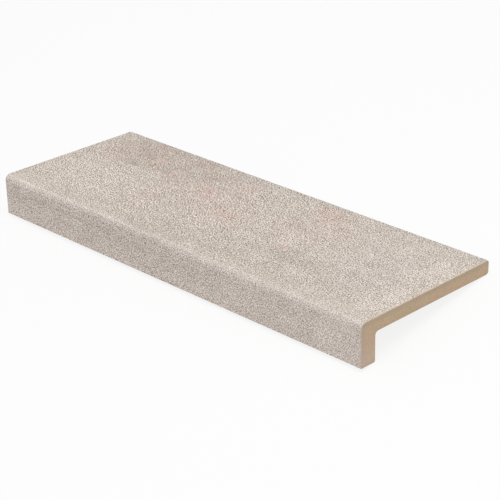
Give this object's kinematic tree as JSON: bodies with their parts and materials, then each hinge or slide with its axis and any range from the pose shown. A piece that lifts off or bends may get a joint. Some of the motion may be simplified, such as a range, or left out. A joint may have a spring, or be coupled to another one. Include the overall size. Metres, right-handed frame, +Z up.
{
  "type": "stair tread tile",
  "caption": "L-shaped stair tread tile pressed from stoneware: a flat printed walking face with a turned-down, round-edged nose, and bare clay ends and underside.",
  "frame": {"origin": "centre of the tile's footprint, at the level of the floor that it lies on", "axes": "+X along the step, +Y from the nose towards the back edge, +Z up. The tile lies on its nose's inner foot and its lower back edge, so the walking face slopes down by 10.7 degrees towards +Y."},
  "size_m": [0.68, 0.2458, 0.0618],
  "materials": {
    "stoneware": "matt printed stone look on the walking face and the nose, bare tan clay on the ends and the underside"
  },
  "bodies": {
    "root": {"stair_tread_tile": "stoneware"}
  },
  "joints": []
}
